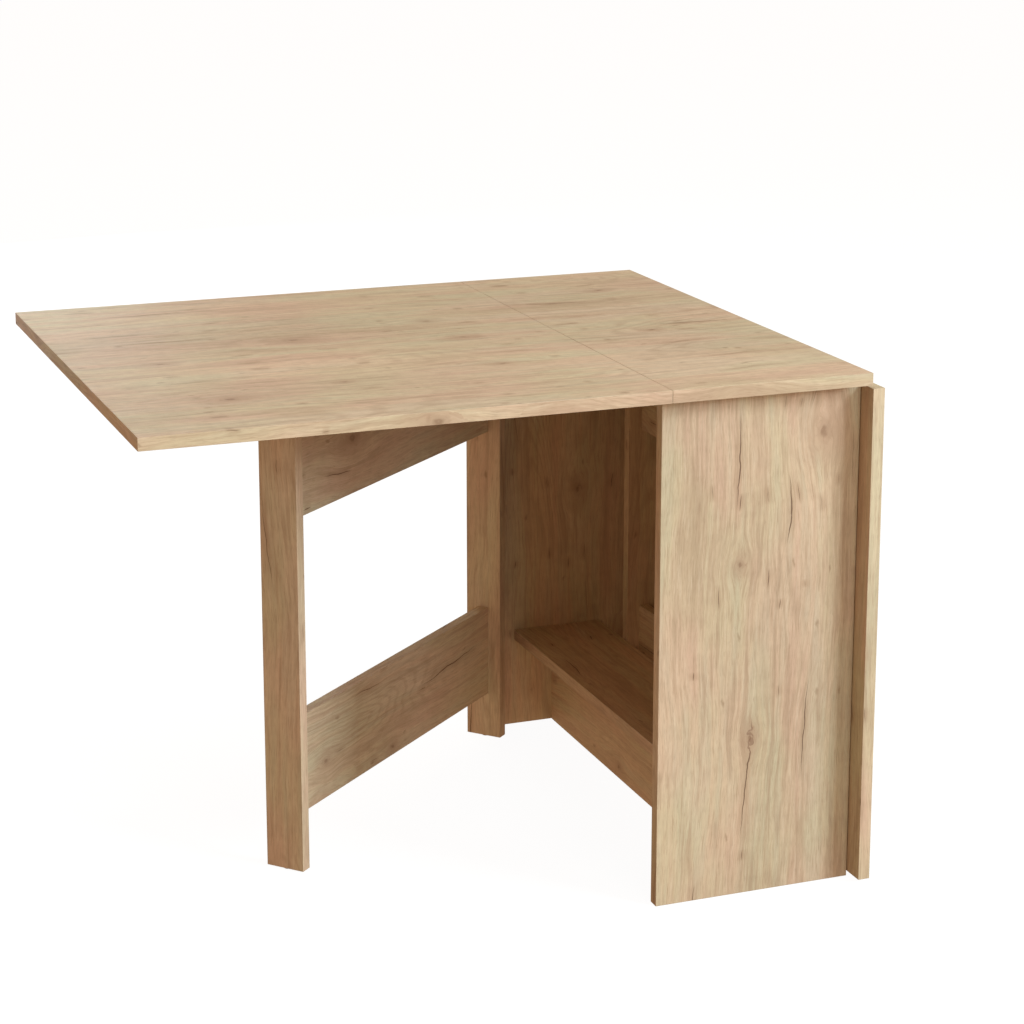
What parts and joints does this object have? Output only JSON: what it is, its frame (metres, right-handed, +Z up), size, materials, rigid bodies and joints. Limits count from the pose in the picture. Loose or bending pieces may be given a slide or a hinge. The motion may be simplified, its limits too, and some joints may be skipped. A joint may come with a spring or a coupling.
{
  "type": "drop leaf table",
  "caption": "Narrow gateleg table with a fixed centre top, drop leaves on both long sides, swinging gate legs that hold the leaves level, and a low shelf between end panels.",
  "frame": {"origin": "on the floor, under the middle of the fixed centre top", "axes": "+Z up, +Y along the table's length from the near end panel to the far one, -X towards the raised left leaf, +X towards the hanging right leaf"},
  "size_m": [1.0538, 0.85, 0.76],
  "materials": {
    "oak_laminate": "matt wood-grain laminate",
    "beech": "plain turned beech",
    "zinc_steel": "zinc-plated",
    "glide_plastic": "moulded"
  },
  "bodies": {
    "base": {"centre_top": "oak_laminate", "far_end_panel": "oak_laminate", "near_end_panel": "oak_laminate", "bottom_shelf": "oak_laminate", "plinth_board": "oak_laminate", "shelf_dowels": "beech", "plinth_dowels": "beech", "seam_dowels": "beech", "top_dowels": "beech", "top_brackets": "zinc_steel", "bracket_screws": "zinc_steel", "left_leaf_fixed_plates": "zinc_steel", "left_leaf_hinge_pins": "zinc_steel", "left_leaf_fixed_screws": "zinc_steel", "left_gate_fixed_plates": "zinc_steel", "left_gate_hinge_pins": "zinc_steel", "left_gate_fixed_screws": "zinc_steel", "right_leaf_fixed_plates": "zinc_steel", "right_leaf_hinge_pins": "zinc_steel", "right_leaf_fixed_screws": "zinc_steel", "right_gate_fixed_plates": "zinc_steel", "right_gate_hinge_pins": "zinc_steel", "right_gate_fixed_screws": "zinc_steel"},
    "left_leaf": {"left_leaf_board": "oak_laminate", "left_leaf_moving_plates": "zinc_steel", "left_leaf_moving_screws": "zinc_steel"},
    "right_leaf": {"right_leaf_board": "oak_laminate", "right_leaf_moving_plates": "zinc_steel", "right_leaf_moving_screws": "zinc_steel"},
    "left_gate": {"left_gate_pivot_upright": "oak_laminate", "left_gate_free_upright": "oak_laminate", "left_gate_lower_rail": "oak_laminate", "left_gate_upper_rail": "oak_laminate", "left_gate_dowels": "beech", "left_gate_glides": "glide_plastic", "left_gate_moving_plates": "zinc_steel", "left_gate_moving_screws": "zinc_steel"},
    "right_gate": {"right_gate_pivot_upright": "oak_laminate", "right_gate_free_upright": "oak_laminate", "right_gate_lower_rail": "oak_laminate", "right_gate_upper_rail": "oak_laminate", "right_gate_dowels": "beech", "right_gate_glides": "glide_plastic", "right_gate_moving_plates": "zinc_steel", "right_gate_moving_screws": "zinc_steel"}
  },
  "joints": [
    {"name": "left_gate_swing", "type": "hinge", "parent": "base", "child": "left_gate", "pos_m": [-0.1495, 0.3695, 0], "axis": [0, 0, -1], "range_deg": [-48.3, 41.7]},
    {"name": "right_leaf_lift", "type": "hinge", "parent": "base", "child": "right_leaf", "pos_m": [0.1504, 0, 0.7395], "axis": [0, -1, 0], "range_deg": [0, 90]},
    {"name": "left_leaf_lift", "type": "hinge", "parent": "base", "child": "left_leaf", "pos_m": [-0.1504, 0, 0.7395], "axis": [0, 1, 0], "range_deg": [0, 1.2]},
    {"name": "right_gate_swing", "type": "hinge", "parent": "base", "child": "right_gate", "pos_m": [0.1495, -0.3695, 0], "axis": [0, 0, -1], "range_deg": [-0.08, 1.1]}
  ]
}
